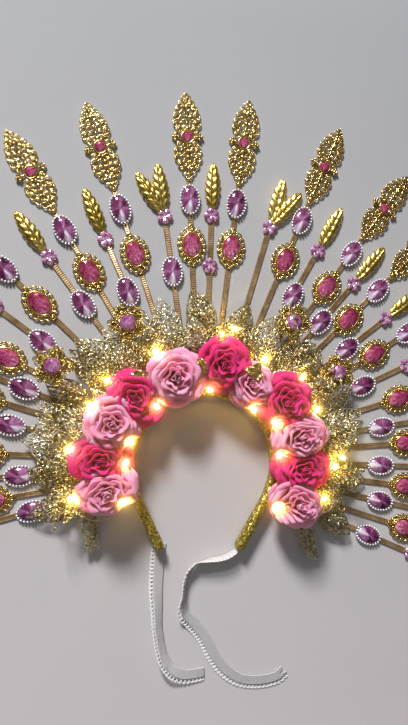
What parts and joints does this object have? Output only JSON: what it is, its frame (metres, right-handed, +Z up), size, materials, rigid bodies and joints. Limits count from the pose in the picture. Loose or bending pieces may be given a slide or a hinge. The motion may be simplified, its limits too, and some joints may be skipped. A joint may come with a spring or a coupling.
{
  "type": "halo crown headband",
  "caption": "Padded arch headband with a sunburst fan of stone-set straps and pierced finials, fabric roses, glitter foliage, fairy lights and two elastic ties.",
  "frame": {"origin": "on the flat back of the middle strap, under the top of the headband's arch, at the surface the crown lies on", "axes": "+Z up from the surface toward the decorated face, +Y from the arch toward the tips of the top finials, +X to the right in the picture"},
  "size_m": [0.6555, 0.5359, 0.0448],
  "materials": {
    "headband_glitter": "gold glitter cloth over padding",
    "strap_gold": "ribbed tan-gold strap with gold settings and pink stones",
    "rose_light": "matt light pink cloth petals",
    "rose_hot": "matt hot pink cloth petals",
    "foliage_glitter": "gold glitter on skeleton leaves and needles",
    "brooch_gold": "gold lace petals round a pink stone",
    "light_string": "fine wire with warm lights",
    "tie_elastic": "white lace-edged elastic"
  },
  "bodies": {
    "root": {"headband": "headband_glitter", "strap_ray_01": "strap_gold", "strap_ray_02": "strap_gold", "strap_ray_03": "strap_gold", "strap_ray_04": "strap_gold", "strap_ray_05": "strap_gold", "strap_ray_06": "strap_gold", "strap_ray_07": "strap_gold", "strap_ray_08": "strap_gold", "strap_ray_09": "strap_gold", "strap_ray_10": "strap_gold", "strap_ray_11": "strap_gold", "strap_ray_12": "strap_gold", "strap_ray_13": "strap_gold", "strap_ray_14": "strap_gold", "strap_ray_15": "strap_gold", "strap_ray_16": "strap_gold", "strap_ray_17": "strap_gold", "strap_ray_18": "strap_gold", "strap_ray_19": "strap_gold", "strap_ray_20": "strap_gold", "strap_ray_21": "strap_gold", "strap_ray_22": "strap_gold", "strap_ray_23": "strap_gold", "strap_ray_24": "strap_gold", "strap_ray_25": "strap_gold", "strap_ray_26": "strap_gold", "strap_ray_27": "strap_gold", "strap_ray_28": "strap_gold", "strap_ray_29": "strap_gold", "strap_ray_30": "strap_gold", "strap_ray_31": "strap_gold", "strap_ray_32": "strap_gold", "strap_ray_33": "strap_gold", "strap_ray_34": "strap_gold", "strap_ray_35": "strap_gold", "rose_01": "rose_light", "rose_02": "rose_hot", "rose_03": "rose_light", "rose_04": "rose_hot", "rose_05": "rose_light", "rose_06": "rose_hot", "rose_07": "rose_light", "rose_08": "rose_hot", "rose_09": "rose_light", "rose_10": "rose_hot", "rose_11": "rose_light", "foliage_1": "foliage_glitter", "foliage_2": "foliage_glitter", "foliage_3": "foliage_glitter", "foliage_4": "foliage_glitter", "foliage_5": "foliage_glitter", "foliage_6": "foliage_glitter", "brooch_1": "brooch_gold", "brooch_2": "brooch_gold", "brooch_3": "brooch_gold", "brooch_4": "brooch_gold", "light_string": "light_string", "tie_left": "tie_elastic", "tie_right": "tie_elastic"}
  },
  "joints": []
}
